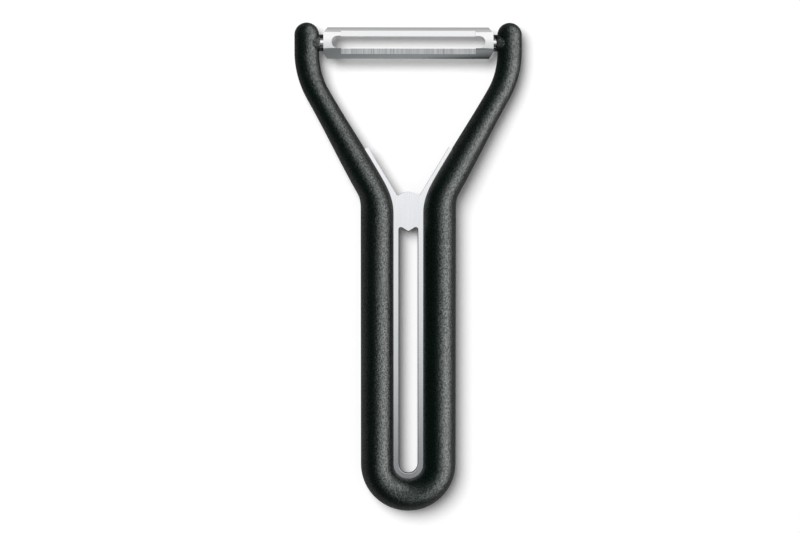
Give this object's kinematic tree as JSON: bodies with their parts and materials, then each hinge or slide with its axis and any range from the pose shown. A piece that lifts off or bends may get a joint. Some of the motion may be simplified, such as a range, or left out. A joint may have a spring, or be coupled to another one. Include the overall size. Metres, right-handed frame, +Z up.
{
  "type": "vegetable peeler",
  "caption": "Y-shaped vegetable peeler: looped black plastic handle around a slotted steel frame, with a slotted blade that swivels between the tips of its arms.",
  "frame": {"origin": "on the table under the middle of the outline, with the peeler lying flat", "axes": "+X along the blade, +Y up the handle towards the blade, +Z up through the handle's thickness"},
  "size_m": [0.0697, 0.15, 0.012],
  "materials": {
    "black_plastic": "fine-grained matte moulding",
    "frame_steel": "satin rolled stainless sheet",
    "blade_steel": "polished stainless strip with ground edges",
    "pin_steel": "bright turned stainless wire"
  },
  "bodies": {
    "grip": {"handle": "black_plastic", "steel_frame": "frame_steel"},
    "swivel_blade": {"blade": "blade_steel", "pivot_pin_left": "pin_steel", "pivot_pin_right": "pin_steel"}
  },
  "joints": [
    {"name": "blade_swivel", "type": "hinge", "parent": "grip", "child": "swivel_blade", "pos_m": [0, 0.0688, 0.006], "axis": [1, 0, 0], "range_deg": [0, 20]}
  ]
}
